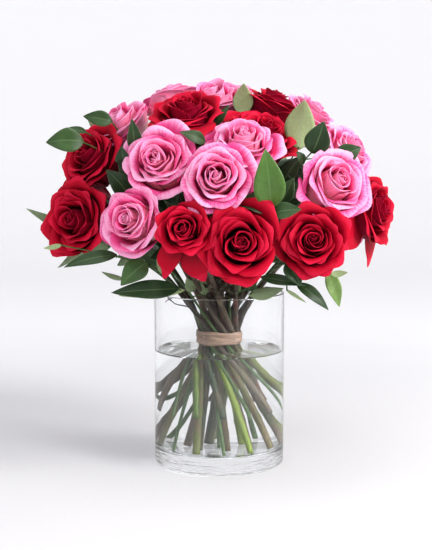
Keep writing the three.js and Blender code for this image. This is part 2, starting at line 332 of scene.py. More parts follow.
class Value:
    """A socket that carries a number, with the arithmetic of numbers."""

    def __init__(self, finish, socket):
        self.finish = finish
        self.socket = socket

    def math(self, operation, *others, clamp=False):
        settings = {"operation": operation, "use_clamp": clamp}
        return self.finish.value("ShaderNodeMath", settings, (self, *others))

    def __add__(self, other):
        return self.math("ADD", other)

    def __radd__(self, other):
        return self.math("ADD", other)

    def __sub__(self, other):
        return self.math("SUBTRACT", other)

    def __rsub__(self, other):
        return self.finish.value("ShaderNodeMath", {"operation": "SUBTRACT"}, (other, self))

    def __mul__(self, other):
        return self.math("MULTIPLY", other)

    def __rmul__(self, other):
        return self.math("MULTIPLY", other)

    def __truediv__(self, other):
        return self.math("DIVIDE", other)

    def __pow__(self, other):
        return self.math("POWER", other)

    def clamped(self):
        return self.math("ADD", 0.0, clamp=True)

    def step(self, low, high):
        """0 below low, 1 above high, and a smooth rise between."""
        settings = {"interpolation_type": "SMOOTHSTEP"}
        values = {"Value": self, "From Min": low, "From Max": high}
        return self.finish.value("ShaderNodeMapRange", settings, values)


class Finish:
    """A material and its nodes."""

    def __init__(self, name):
        self.material = bpy.data.materials.new(name)
        self.material.use_nodes = True
        self.tree = self.material.node_tree
        self.shader = self.tree.nodes["Principled BSDF"]

    def node(self, kind, settings=None, values=()):
        """Add a node: its settings first, then what its sockets hold or are linked to."""
        node = self.tree.nodes.new(kind)
        for key, value in (settings or {}).items():
            if key == "stops":
                self.stops(node.color_ramp, value)
            else:
                setattr(node, key, value)
        pairs = values.items() if isinstance(values, dict) else enumerate(values)
        for key, value in pairs:
            self.feed(node.inputs[key], value)
        return node

    def stops(self, ramp, stops):
        """Set a ramp's stops, each a position and a colour."""
        while len(ramp.elements) < len(stops):
            ramp.elements.new(1)
        for element, (position, colour) in zip(ramp.elements, stops):
            element.position = position
            element.color = (*colour, 1)

    def feed(self, socket, value):
        """Link a socket, or set what it holds."""
        source = getattr(value, "socket", value)
        if isinstance(source, bpy.types.NodeSocket):
            self.tree.links.new(source, socket)
        elif isinstance(source, (tuple, list)) and socket.type == "RGBA":
            socket.default_value = (*source, 1)
        else:
            socket.default_value = source

    def value(self, kind, settings=None, values=(), output=0):
        return Value(self, self.node(kind, settings, values).outputs[output])

    def attribute(self, name):
        return self.value("ShaderNodeAttribute", {"attribute_name": name}, output="Fac")

    def along(self, kind, stretch, **values):
        """A texture on Object coordinates, stretched by three factors."""
        where = self.node("ShaderNodeTexCoord").outputs["Object"]
        return self.spread(kind, where, stretch, values)

    def across(self, kind, stretch, **values):
        """A texture on the piece's own UV map, stretched by three factors."""
        where = self.node("ShaderNodeUVMap").outputs["UV"]
        return self.spread(kind, where, stretch, values)

    def spread(self, kind, where, stretch, values):
        mapped = self.node("ShaderNodeMapping", None, {"Vector": where, "Scale": stretch}).outputs[0]
        named = {key.replace("_", " "): value for key, value in values.items()}
        return self.value(kind, None, {"Vector": mapped, **named}, output="Fac")

    def mix(self, share, first, second):
        """A colour between two, by a share that may change over the surface."""
        node = self.node("ShaderNodeMix", {"data_type": "RGBA"}, {0: share, 6: first, 7: second})
        return node.outputs[2]

    def shade(self, colour, factor):
        """A colour made lighter or darker by a factor."""
        node = self.node("ShaderNodeVectorMath", {"operation": "SCALE"}, {"Vector": colour, "Scale": factor})
        return node.outputs[0]

    def bump(self, height, strength, distance):
        values = {"Height": height, "Strength": strength, "Distance": distance}
        self.feed(self.shader.inputs["Normal"], self.node("ShaderNodeBump", None, values).outputs[0])

    def set(self, **values):
        """Feed the shader's sockets, whose names are written with underscores."""
        for key, value in values.items():
            self.feed(self.shader.inputs[key.replace("_", " ")], value)


print("materials are written with Value and Finish")

# %% [markdown]
# ## The studio
#
# The vase stands in a white studio. A photographer's sweep would show its edges from some sides, so the floor
# here is a wide round bowl: flat in the middle, curving up into a wall all round. It is one circle, spun from
# a drawn outline. It glows a little, as a well-lit white wall does. This glow is painted light and it is
# uneven: weak on the floor near the vase and stronger on the far wall, with extra painted light where the
# floor near the vase is seen through the glass. The side behind the viewer gets painted shade where it is
# seen in reflections.

# %% The floor and its wall
SWEEP = [(0.0, 0.0), (2.0, 0.0), (2.3, 0.05), (2.52, 0.2), (2.66, 0.45), (2.7, 0.8), (2.7, 3.2)]
outline = bpy.data.meshes.new("sweep")
outline.from_pydata([(x, 0, z - 0.0003) for x, z in SWEEP], [(i, i + 1) for i in range(len(SWEEP) - 1)], [])
sweep = bpy.data.objects.new("sweep", outline)
bpy.context.collection.objects.link(sweep)
only(sweep)
bpy.ops.object.mode_set(mode="EDIT")
bpy.ops.mesh.select_all(action="SELECT")
bpy.ops.mesh.spin(steps=96, angle=math.tau, center=(0, 0, 0), axis=(0, 0, 1))
bpy.ops.mesh.remove_doubles(threshold=0.0001)
bpy.ops.mesh.normals_make_consistent(inside=True)
bpy.ops.object.mode_set(mode="OBJECT")

paper = Finish("white_sweep")
grain = paper.along("ShaderNodeTexNoise", (40, 40, 40), Detail=3.0)
PAPER_LIGHT = (0.966, 0.967, 0.985)
GLOW_NEAR, GLOW_FAR = 0.055, 0.325
GLOW_THROUGH_GLASS = 0.17
LOST_WHEN_BOUNCED = 0.75
PAINTED_SHADE_IN_REFLECTIONS = 0.88
where = paper.node("ShaderNodeTexCoord").outputs["Object"]
from_vase = paper.value("ShaderNodeVectorMath", {"operation": "LENGTH"}, {0: where}, output="Value")
bounced = paper.value("ShaderNodeLightPath", output="Is Diffuse Ray")
through = paper.value("ShaderNodeLightPath", output="Is Transmission Ray")
mirrored = paper.value("ShaderNodeLightPath", output="Glossy Depth").clamped()
behind_viewer = paper.value("ShaderNodeSeparateXYZ", None, {0: where}, output=1) * -1
# Painted shade in reflections: after a mirror bounce, the front of the sweep behind the viewer is darkened,
# in both glow and colour.
painted_reflection_shade = 1 - PAINTED_SHADE_IN_REFLECTIONS * behind_viewer.step(0.3, 1.4) * mirrored
# Painted light: the glow is weak near the vase and strong on the far wall, and it is stronger where the floor
# near the vase is seen through the glass. It lights the flowers less than it shows to the camera.
glow = GLOW_NEAR + (GLOW_FAR - GLOW_NEAR) * from_vase.step(0.22, 1.25)
glow = glow + GLOW_THROUGH_GLASS * through * (1 - from_vase.step(0.10, 0.75))
glow = glow * (1 - LOST_WHEN_BOUNCED * bounced) * painted_reflection_shade
card = paper.mix(grain, (0.721, 0.719, 0.732), (0.761, 0.759, 0.772))
paper.set(Base_Color=paper.shade(card, painted_reflection_shade), Roughness=0.9)
paper.set(Emission_Color=paper.shade(PAPER_LIGHT, glow), Emission_Strength=1.0)
sweep.data.materials.append(paper.material)
sweep.data.polygons.foreach_set("use_smooth", [True] * len(sweep.data.polygons))
sweep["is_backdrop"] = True
print("the sweep has", len(sweep.data.polygons), "faces")

# %% [markdown]
# A large soft box on the right lights the flowers and lays one broad, faint shadow on the left. A second
# one above and a weak one by the camera open up the shadows, and the white room does the rest.

# %% The lights and the room


def soft_box(name, place_at, size, power, look_at=(0, 0, 0.25), colour=(1, 1, 1)):
    light = bpy.data.lights.new(name, "AREA")
    light.size = size
    light.energy = power
    light.color = colour
    lamp = bpy.data.objects.new(name, light)
    bpy.context.collection.objects.link(lamp)
    lamp.location = place_at
    lamp.rotation_euler = (Vector(look_at) - lamp.location).to_track_quat("-Z", "Y").to_euler()
    return lamp


soft_box("key", (1.25, -0.78, 1.12), 0.62, 29, colour=(1.0, 0.985, 0.965))
soft_box("top", (-0.15, -0.35, 2.1), 1.3, 10)
soft_box("front", (-0.55, -1.9, 1.0), 1.2, 9)
room = bpy.data.worlds.new("room")
room.use_nodes = True
room.node_tree.nodes["Background"].inputs["Color"].default_value = (0.945, 0.935, 1.0, 1)
room.node_tree.nodes["Background"].inputs["Strength"].default_value = 0.34
bpy.context.scene.world = room
bpy.context.scene.view_settings.view_transform = "Standard"
print("three soft boxes and a white room")

# %% [markdown]
# In a thick glass base full of water, light turns round many times before it leaves. With the usual few
# bounces those places would stay black, so more are allowed.

# %% More bounces for the glass
paths = bpy.context.scene.cycles
paths.max_bounces = 24
paths.glossy_bounces = 16
paths.transmission_bounces = 24
paths.transparent_max_bounces = 24
print("a ray may bounce", paths.max_bounces, "times")

# %% [markdown]
# ## The petals
#
# A rose is a spiral of petals. One drawn petal, twisted and scaled, would look like a paper flower: on a
# real bloom every petal has its own part. The inner ones stand upright and wrap round each other, the outer
# ones form the cup, and their lips roll back. So a petal is a sheet that follows a line which leans out,
# rises and rolls over, and the numbers of that line change from the heart of the bloom (0) to its outside
# (1).
#
# The sheet is a grid with more rows near the lip, where it curls most. Copies of it by an Array make the
# blank of a whole bloom, and the blank is then given its points.

# %% The blank of a bloom: as many flat sheets as there are petals
PETALS = 34
ACROSS = 17
ALONG = 15
bpy.ops.object.select_all(action="DESELECT")
bpy.ops.mesh.primitive_grid_add(x_subdivisions=ACROSS - 1, y_subdivisions=ALONG - 1, size=2)
BLANK = made("petal_blank")
apply(BLANK, "ARRAY", count=PETALS, relative_offset_displace=(0, 1.5, 0))
SHEET = ACROSS * ALONG
grid = points_of(BLANK)[:SHEET].reshape(ALONG, ACROSS, 3)
assert np.allclose(grid[:, :, 0], np.linspace(-1, 1, ACROSS)[None, :], atol=1e-4)
print("the blank has", len(BLANK.data.vertices), "points in", PETALS, "sheets")

# %% [markdown]
# The numbers of the line, each as a list of stops from heart to outside: how far the cup stands from the
# axis, how long the petal is (both as shares of the bloom's width), how it leans at half height, how far
# the lip rolls, where the roll starts, and how far the petal reaches round the axis.

# %% The petal's line
CUP = [(0, 0.012), (0.25, 0.095), (0.5, 0.215), (0.75, 0.335), (1, 0.435)]
LENGTH = [(0, 0.60), (0.3, 0.665), (0.6, 0.705), (0.8, 0.715), (1, 0.70)]
LEAN = [(0, -9), (0.3, -8), (0.6, -3), (0.85, 8), (1, 22)]
ROLL = [(0, -8), (0.15, 10), (0.3, 50), (0.5, 95), (0.75, 130), (1, 125)]
START = [(0, 0.86), (0.4, 0.86), (0.7, 0.82), (1, 0.755)]
REACH = [(0, 160), (0.25, 105), (0.5, 66), (1, 49)]
GOLDEN = math.radians(137.508)


def at(stops, s):
    return float(np.interp(s, [p[0] for p in stops], [p[1] for p in stops]))


def smooth(x, low, high):
    t = np.clip((x - low) / (high - low), 0, 1)
    return t * t * (3 - 2 * t)


def between(a, b, share):
    return a + (b - a) * share


def line(base, lean, roll, start, t, u, side_roll, length):
    """How far out and up the sheet is at each row, for a petal that leans, rises and rolls over."""
    slope = base + (lean - base) * smooth(t, 0.0, 0.5)
    rolled = smooth(t, start - 0.12 * side_roll * u**2, 1.03)
    slope = slope + roll * (1 + side_roll * (u**2 - 0.25)) * rolled
    step = np.diff(t, axis=0) * length
    middle = (slope[1:] + slope[:-1]) / 2
    first = np.zeros((1, t.shape[1]))
    out = np.vstack([first, np.cumsum(np.sin(middle) * step, axis=0)])
    up = np.vstack([first, np.cumsum(np.cos(middle) * step, axis=0)])
    return out, up


def base_lean(cup, lean, start, length):
    """The lean at the foot that brings the petal out to the cup where its lip starts."""
    rows = np.linspace(0, 1, 24)[:, None]
    low, high = math.radians(-20), math.radians(105)
    for _ in range(14):
        base = (low + high) / 2
        out, _up = line(base, lean, 0.0, start, rows, np.zeros((1, 1)), 0.0, length)
        if float(np.interp(0.8, rows[:, 0], out[:, 0])) < cup:
            low = base
        else:
            high = base
    return base


# %% [markdown]
# With the line known, the sheet is wrapped round the axis. Its upper corners are cut round, its sides roll
# back further than its middle, which gives a red rose's outer petals their points, and a little wave runs
# along the lip.

# %% One petal


def petal(s, width, frill, point, openness, rng, loose=0.0):
    """The points of one petal about the bloom's axis. s runs from 0 at the heart to 1 outside."""
    u = np.linspace(-1, 1, ACROSS)[None, :]
    v = (1 - (1 - np.linspace(0, 1, ALONG)) ** 1.7)[:, None]
    jig = lambda x: rng.uniform(-x, x)
    corners = between(0.08, 0.20 + 1.1 * point, s) + 0.12 * (loose > 0)
    peak = (point + 0.05 * (loose > 0)) * s * np.exp(-(((u - rng.uniform(-0.3, 0.3)) / 0.20) ** 2))
    t = v * (1 - corners * np.abs(u) ** 2.3 + peak)
    length = width * (at(LENGTH, s) + jig(0.018) + 0.0026 * loose)
    lean = math.radians(at(LEAN, s) * openness + jig(3 + 3 * s) + loose)
    roll = math.radians(at(ROLL, s) * openness + jig(14) - 1.2 * loose)
    start = at(START, s) + jig(0.02)
    side_roll = between(0.1, 0.9 + 4 * point, s)
    foot = width * between(0.012, 0.055, s)
    cup = width * at(CUP, s) * between(1, openness, 0.25 * s) * (1 + jig(0.055)) * (1 + 0.12 * (loose > 0))
    base = base_lean(cup - foot, lean, start, length)
    r, z = line(base, lean, roll, start, t, u, side_roll, length)
    reach = math.radians(at(REACH, s) + jig(6) - 0.22 * loose)
    angle = u * reach * between(0.62, 1, smooth(t, 0, 0.45))
    r = r + foot + width * between(0.012, 0.02, s) * u * smooth(t, 0.1, 0.4)
    r = r + width * 0.045 * s * np.abs(u) ** 3 * smooth(t, 0.35, 0.9)
    wave = frill * width * smooth(t, 0.6, 1) * between(0.25, 1, s)
    r = r + wave * np.sin(u * rng.uniform(4, 8) + rng.uniform(0, 6.3))
    z = z + 0.8 * wave * np.sin(u * rng.uniform(3, 6) + rng.uniform(0, 6.3)) + width * 0.10
    return np.stack([r * np.sin(angle), -r * np.cos(angle), z], axis=-1), t


# %% [markdown]
# The petals stand round the axis a golden angle apart, as leaves do on a shoot. Each bloom has its own seed,
# so no two are alike. Some of the roses at the front are given one by one how open they are and which of
# their outer petals have come loose, and hang.

# %% How each bloom has opened
OPENNESS = {}
LOOSE = {}
for k, name in enumerate(ROSES):
    OPENNESS[name] = 0.86 + 0.2 * ((k * 0.618) % 1)
    LOOSE[name] = []
OPENNESS.update({"red_rose_03": 1.1, "red_rose_02": 0.95, "red_rose_04": 1.0, "pink_rose_06": 1.05})
OPENNESS.update({"red_rose_05": 1.05, "red_rose_10": 1.05, "pink_rose_05": 1.02})
LOOSE["red_rose_02"] = [(-30, 88), (14, 98)]
LOOSE["red_rose_05"] = [(-50, 70), (20, 80), (75, 55)]
LOOSE["red_rose_10"] = [(-40, 40), (35, 45)]
LOOSE["red_rose_08"] = [(-10, 45)]


def bloom_points(width, frill, point, openness, seed, loose):
    """A bloom's petals: their points, how far each is along its petal, and where it is from the heart out."""
    rng = np.random.default_rng(seed)
    spin = rng.uniform(0, math.tau)
    sheets, rows, layers = [], [], []
    for k in range(PETALS):
        s = k / (PETALS - 1)
        turn = spin + k * GOLDEN + rng.uniform(-0.2, 0.2)
        hang = 0.0
        spare = k - (PETALS - len(loose))
        if spare >= 0:
            degrees, hang = loose[spare]
            turn = math.radians(degrees)
            s = 1.0
        sheet, t = petal(s, width, frill, point, openness, rng, hang)
        tip = rng.normal(0, 0.025 + 0.045 * s, 2)
        cos, sin = math.cos(turn), math.sin(turn)
        about = np.array([[cos, -sin, 0], [sin, cos, 0], [0, 0, 1]])
        tilt = np.array([[1, 0, tip[0]], [0, 1, tip[1]], [0, 0, 1]])
        sheets.append(sheet @ about.T @ tilt.T)
        rows.append(t)
        layers.append(s)
    return np.array(sheets), np.array(rows), np.array(layers), rng.uniform(-1, 1, PETALS)


# %% [markdown]
# A petal is about half a millimetre thick, which a Solidify gives it. It puts the old points outside and
# the new ones inside, so that each point can be told which side of the petal it is on: the two sides differ
# in colour.

# %% Make the twenty-four blooms
PETAL_THICKNESS = 0.45 * MM


def make_bloom(name, seed):
    frame_of, width = LIVING[name]
    pink = name.startswith("pink")
    frill, point = (0.021, 0.035) if pink else (0.012, 0.085)
    sheets, rows, layers, tints = bloom_points(width, frill, point, OPENNESS[name], seed, LOOSE[name])
    obj = copy_of(BLANK, name + "_petals")
    turned = sheets.reshape(-1, 3) @ np.array(frame_of.to_3x3()).T + np.array(frame_of.translation)
    place(obj, turned)
    note(obj, "reach", rows)
    note(obj, "layer", np.repeat(layers, SHEET))
    note(obj, "tint", np.repeat(tints, SHEET))
    apply(obj, "SOLIDIFY", thickness=PETAL_THICKNESS, offset=0)
    count = len(obj.data.vertices)
    note(obj, "back", np.arange(count) < count // 2)
    return obj


BLOOM_PIECES = {name: make_bloom(name, 11 + k) for k, name in enumerate(ROSES)}
bpy.data.objects.remove(BLANK)
print("faces in a bloom:", len(BLOOM_PIECES[ROSES[0]].data.polygons))

# %% [markdown]
# ## The colour of the petals
#
# The red roses are one deep crimson, darker towards the foot of the petal, with a thin paler line at the lip
# and a duller, bluer back. On both sides of the petal, the darkening towards the foot is partly the crimson's
# own depth and partly painted shade of the deep crevices inside the bloom. The paler line at the lip is a
# painted highlight, where the rolled lip catches the light. The pink ones have two colours: a strong pink
# inside and at the heart, and a pale lip that runs over into a creamy back. Fine veins fan out from the foot;
# they show as faint streaks and in the sheen.

# %% Red petals


def veins(finish):
    """Fine streaks along the petal, and broader, softer ones."""
    fine = finish.across("ShaderNodeTexNoise", (46, 2.2, 1), Scale=1.0, Detail=2.0)
    broad = finish.along("ShaderNodeTexNoise", (70, 70, 70), Scale=1.0, Detail=2.0)
    return fine, broad


red = Finish("red_petals")
reach, layer, back, tint = (red.attribute(n) for n in ("reach", "layer", "back", "tint"))
fine, broad = veins(red)
# Much darker towards the foot, on the inside and on the back: partly the crimson's own depth, partly painted
# shade of the bloom's deep crevices.
inside = red.mix(reach.step(0.35, 0.97), (0.07, 0.0, 0.003), (0.50, 0.0, 0.019))
# A painted highlight: a thin paler line along the lip, where it rolls over and catches the light.
inside = red.mix((reach + 0.02 * fine).step(0.955, 1.005) * 0.35, inside, (0.80, 0.015, 0.070))
outside = red.mix(reach.step(0.3, 1.0), (0.07, 0.001, 0.008), (0.32, 0.001, 0.024))
colour = red.mix(back, inside, outside)
colour = red.shade(colour, 0.76 + 0.26 * fine + 0.26 * broad + 0.12 * tint)
red.set(Base_Color=colour, Roughness=0.55 + 0.1 * fine, Specular_IOR_Level=0.12)
red.set(Sheen_Weight=0.04, Sheen_Roughness=0.4, Sheen_Tint=(1.0, 0.10, 0.25))
red.bump(fine * 0.5 + broad, 0.35, 0.6 * MM)
print("red petals:", len(red.tree.nodes), "nodes")

# %% Pink petals
pink = Finish("pink_petals")
reach, layer, back, tint = (pink.attribute(n) for n in ("reach", "layer", "back", "tint"))
fine, broad = veins(pink)
heart = 1 - layer.step(0.05, 0.65)
deep = pink.mix(heart, (0.92, 0.08, 0.31), (0.84, 0.02, 0.18))
lip = pink.mix(heart, (0.99, 0.41, 0.64), (0.97, 0.19, 0.43))
inside = pink.mix((reach + 0.24 * (fine - 0.5) + 0.07 * tint).step(0.83, 1.04), deep, lip)
outside = pink.mix(reach.step(0.25, 0.75), (0.93, 0.72, 0.58), (0.96, 0.25, 0.42))
outside = pink.mix((reach + 0.14 * (fine - 0.5) + 0.05 * tint).step(0.76, 1.0), outside, (1.0, 0.42, 0.66))
colour = pink.mix(back, inside, outside)
colour = pink.shade(colour, 0.90 + 0.16 * fine + 0.12 * broad + 0.05 * tint)
pink.set(Base_Color=colour, Roughness=0.55 + 0.1 * fine, Specular_IOR_Level=0.2)
pink.set(Subsurface_Weight=0.25, Subsurface_Radius=(1.0, 0.35, 0.5), Subsurface_Scale=0.003)
pink.set(Sheen_Weight=0.05, Sheen_Roughness=0.4, Sheen_Tint=(1.0, 0.6, 0.8))
pink.bump(fine * 0.5 + broad, 0.35, 0.6 * MM)
print("pink petals:", len(pink.tree.nodes), "nodes")

# %% Give the blooms their colour
for name, obj in BLOOM_PIECES.items():
    finish = pink if name.startswith("pink") else red
    settle(obj, finish.material, name.split("_")[0] + "_petals", name)
print(sum(len(o.data.polygons) for o in BLOOM_PIECES.values()), "faces in all the blooms")

# %% [markdown]
# ## The calyx
#
# Under each bloom is the green hip that the petals grow from, with five narrow sepals. It is small and
# mostly hidden, so it is modelled once, on a bloom of unit width, and copied to every rose: a ball drawn
# out towards the stem, and one sepal, cut from a grid, turned five times round it.

# %% Model one calyx
bpy.ops.object.select_all(action="DESELECT")
bpy.ops.mesh.primitive_uv_sphere_add(segments=14, ring_count=9, radius=0.085, location=(0, 0, 0.07))
hip = made("hip")
p = points_of(hip)
low = smooth(-p[:, 2], -0.09, 0.015)
p[:, :2] *= (1 - 0.55 * low)[:, None]
p[:, 2] -= 0.03 * low
place(hip, p)

SEPAL_ROWS, SEPAL_SIDES = 9, 5
bpy.ops.object.select_all(action="DESELECT")
bpy.ops.mesh.primitive_grid_add(x_subdivisions=SEPAL_SIDES - 1, y_subdivisions=SEPAL_ROWS - 1, size=2)
sepal = made("sepal")
p = points_of(sepal)
u, v = p[:, 0], (p[:, 1] + 1) / 2
half = 0.052 * (1 - v) ** 0.8 * (0.75 + 0.9 * v)
slope = np.radians(70) * (1 - v) + np.radians(150) * v**2
r = 0.055 + 0.20 * v * np.sin(np.radians(62 + 30 * v))
z = 0.045 + 0.13 * np.sin(np.pi * v * 0.75) - 0.05 * v**2
place(sepal, np.stack([u * half, -r, z + 0.02 * u**2], axis=-1))
apply(sepal, "SOLIDIFY", thickness=0.006, offset=0)
parts = [hip]
for k in range(5):
    leaf = copy_of(sepal, "sepal_" + str(k))
    leaf.data.transform(Matrix.Rotation(math.tau * k / 5, 4, "Z"))
    parts.append(leaf)
bpy.data.objects.remove(sepal)
CALYX = joined_as("calyx_pattern", parts)
print("a calyx has", len(CALYX.data.polygons), "faces")

# %% Its green, and a copy under every bloom
sap = Finish("calyx")
mottle = sap.along("ShaderNodeTexNoise", (220, 220, 220), Scale=1.0, Detail=3.0)
sap.set(Base_Color=sap.mix(mottle.step(0.35, 0.7), (0.075, 0.15, 0.035), (0.16, 0.25, 0.07)), Roughness=0.5)
sap.bump(mottle, 0.4, 0.4 * MM)
for name in ROSES:
    frame_of, width = LIVING[name]
    calyx = copy_of(CALYX, name + "_calyx")
    calyx.data.transform(frame_of @ Matrix.Scale(width, 4))
    settle(calyx, sap.material, "calyx")
bpy.data.objects.remove(CALYX)
print("calyxes:", len(ROSES))

# %% [markdown]
# ## The stems
#
# A rose's stem is a slightly knobbly stick: it swells at each node where a leaf was stripped off, and
# tapers towards the flower. A curve with a round bevel is the quickest way to draw it, because each point
# of a curve has its own radius. Its upper end is led over to the bloom, which may have turned. Converted to
# a mesh, it is one closed stick.

# %% Draw a stick along a line


def spread_line(points, step):
    """Points at even steps along a smooth line through these points."""
    p = np.array([tuple(q) for q in points])
    lengths = np.concatenate([[0], np.cumsum(np.linalg.norm(np.diff(p, axis=0), axis=1))])
    slopes = np.gradient(p, lengths, axis=0)
    places = np.linspace(0, lengths[-1], max(3, int(lengths[-1] / step)))
    k = np.clip(np.searchsorted(lengths, places, side="right") - 1, 0, len(p) - 2)
    span = (lengths[k + 1] - lengths[k])[:, None]
    t = ((places - lengths[k])[:, None]) / span
    a, b = 2 * t**3 - 3 * t**2 + 1, t**3 - 2 * t**2 + t
    c, d = -2 * t**3 + 3 * t**2, t**3 - t**2
    return a * p[k] + b * span * slopes[k] + c * p[k + 1] + d * span * slopes[k + 1], places


def stick(name, points, radii, resolution=3):
    """A closed round stick through these points, with a radius at each."""
    curve = bpy.data.curves.new(name, "CURVE")
    curve.dimensions = "3D"
    curve.bevel_depth = 1.0
    curve.bevel_resolution = resolution
    curve.use_fill_caps = True
    spline = curve.splines.new("POLY")
    spline.points.add(len(points) - 1)
    for point, co, radius in zip(spline.points, points, radii):
        point.co = (*co, 1)
        point.radius = radius
    obj = bpy.data.objects.new(name, curve)
    bpy.context.collection.objects.link(obj)
    only(obj)
    bpy.ops.object.convert(target="MESH")
    obj = bpy.context.object
    obj.name = obj.data.name = name
    bpy.ops.object.mode_set(mode="EDIT")
    bpy.ops.mesh.select_all(action="SELECT")
    bpy.ops.mesh.remove_doubles(threshold=0.01 * MM)
    bpy.ops.mesh.normals_make_consistent(inside=False)
    bpy.ops.object.mode_set(mode="OBJECT")
    return obj


# %% The twenty-four stems
TIE_Z = 0.148
TINT = {
    "pink_rose_09": 1.0, "red_rose_09": 0.66, "pink_rose_11": 0.12, "pink_rose_02": 0.40, "red_rose_06": 0.42,
    "pink_rose_08": 0.50, "pink_rose_10": 0.48, "red_rose_07": 0.05,
    "pink_rose_03": 0.82, "red_rose_10": 0.45,
    "red_rose_08": 0.58, "red_rose_01": 0.42, "pink_rose_04": 0.30, "pink_rose_01": 0.62,
}
BLUSH = {"red_rose_10": 0.95, "pink_rose_09": 0.0, "pink_rose_02": 0.3, "red_rose_06": 0.2}


def make_stem(name, seed):
    rng = np.random.default_rng(seed)
    frame_of, width = LIVING[name]
    points, places = spread_line(STEM_LINES[name], 3.5 * MM)
    above = smooth(points[:, 2], TIE_Z + 0.02, points[-1, 2])[:, None]
    foot_of_bloom = np.array(frame_of.translation + frame_of.col[2].xyz * 0.03 * width)
    points = points + above * (foot_of_bloom - points[-1])
    share = places / places[-1]
    radius = ROSE_STEM_RADIUS * (1.10 + 0.06 * np.sin(share * 9 + rng.uniform(0, 6)) - 0.14 * share)
    radius = radius * (1 + rng.uniform(0.08, 0.32) * smooth(-points[:, 2], -0.125, -0.085))
    for knot in np.arange(rng.uniform(0.02, 0.06), places[-1], 0.055):
        radius = radius + 0.55 * MM * np.exp(-(((places - knot) / (3.0 * MM)) ** 2))
    obj = stick(name + "_stick", points, radius, 3)
    note(obj, "tint", np.full(len(obj.data.vertices), TINT.get(name, rng.uniform(0, 1))))
    note(obj, "blush", np.full(len(obj.data.vertices), BLUSH.get(name, rng.uniform(0, 1) ** 2)))
    return obj


STICKS = {name: make_stem(name, 71 + k) for k, name in enumerate(ROSES)}
print("a stem has", len(STICKS[ROSES[0]].data.polygons), "faces")

# %% [markdown]
# Fresh green shows where the bark is young and wet, under the water. Above it the stems are browner and
# darker: partly the duller bark, partly painted shade of the crowded bundle. Each stem has its own green,
# some with a red blush. Fine grooves run along them.

# %% The bark of the stems
bark = Finish("rose_stem")
tint, blush = bark.attribute("tint"), bark.attribute("blush")
grooves = bark.along("ShaderNodeTexNoise", (700, 700, 45), Scale=1.0, Detail=2.0)
patches = bark.along("ShaderNodeTexNoise", (60, 60, 22), Scale=1.0, Detail=3.0)
place_in_frame = bark.node("ShaderNodeTexCoord").outputs["Object"]
height = bark.value("ShaderNodeSeparateXYZ", None, {0: place_in_frame}, output=2)
greens = [(0.0, (0.018, 0.040, 0.010)), (0.2, (0.045, 0.065, 0.010)), (0.4, (0.105, 0.082, 0.056))]
greens += [(0.6, (0.105, 0.125, 0.016)), (0.8, (0.062, 0.13, 0.006)), (1.0, (0.19, 0.28, 0.012))]
green = bark.node("ShaderNodeValToRGB", {"stops": greens}, {0: tint + 0.35 * (patches - 0.5)}).outputs[0]
# Browner and darker above the water: partly the duller bark, partly painted shade of the crowded bundle.
dry_and_shaded_bark = bark.mix(tint, (0.018, 0.014, 0.008), (0.105, 0.078, 0.050))
colour = bark.mix((height + 0.02 * patches).step(0.122, 0.155), green, dry_and_shaded_bark)
colour = bark.mix((blush * 1.2 * patches.step(0.42, 0.60)).clamped() * 0.75, colour, (0.16, 0.050, 0.042))
colour = bark.mix(patches.step(0.60, 0.72) * 0.4, colour, (0.27, 0.23, 0.13))
bark.set(Base_Color=bark.shade(colour, 0.55 + 0.8 * grooves), Roughness=0.50 + 0.15 * patches)
bark.bump(grooves + patches, 0.5, 0.5 * MM)
for name, obj in STICKS.items():
    settle(obj, bark.material, "rose_stem", name + "_stem")
print("stems:", len(STICKS))

# %% [markdown]
# ## The ruscus
#
# Ruscus has thick, pointed, glossy blades with fine veins along them, on a thin green twig. The design's
# blades are flat folds; each is read back here as a base, a tip, a width and an upper side, and becomes a
# curved blade.

# %% Read the blades of the sprigs
TWIG_REACH = 9 * MM


def distance_to_line(p, line_points):
    best = 1e9
    for a, b in zip(line_points, line_points[1:]):
        share = min(1, max(0, (p - a).dot(b - a) / (b - a).length_squared))
        best = min(best, (p - a - (b - a) * share).length)
    return best


def read_blades(name):
    """Base, tip, width and upper side of each blade of the sprig."""
    skin = skin_of(name)
    far = {v for v in skin.verts if distance_to_line(v.co, SPRIG_LINES[name]) > TWIG_REACH}
    blades = []
    for group in groups_of(far, lambda e: True):
        points = [v.co.copy() for v in group]
        if len(points) < 6:
            continue
        base = min(points, key=lambda p: distance_to_line(p, SPRIG_LINES[name]))
        tip = max(points, key=lambda p: (p - base).length)
        along = (tip - base).normalized()
        aside = [p - base - along * (p - base).dot(along) for p in points]
        first = max(aside, key=lambda p: p.length)
        second = max(aside, key=lambda p: (p - first).length)
        face = along.cross(first - second).normalized()
        middle = sum(points, Vector()) / len(points)
        if (middle - (base + tip) / 2).dot(face) < 0:
            face = -face
        blades.append((base, tip, (first - second).length, face))
    return sorted(blades, key=lambda b: (round(b[0].z, 4), b[0].x))


BLADES = {name: read_blades(name) for name in SPRIGS}
print({name: len(blades) for name, blades in BLADES.items()})

# %% [markdown]
# One flat grid is the blank of every blade. Its points are laid out to the blade's outline, widest below
# the middle and drawn to a fine tip, then folded along the midrib, arched along the length and twisted a
# little.

# %% One blade from the blank
BLADE_SIDES, BLADE_ROWS = 9, 17
bpy.ops.object.select_all(action="DESELECT")
bpy.ops.mesh.primitive_grid_add(x_subdivisions=BLADE_SIDES - 1, y_subdivisions=BLADE_ROWS - 1, size=2)
BLADE = made("blade_blank")


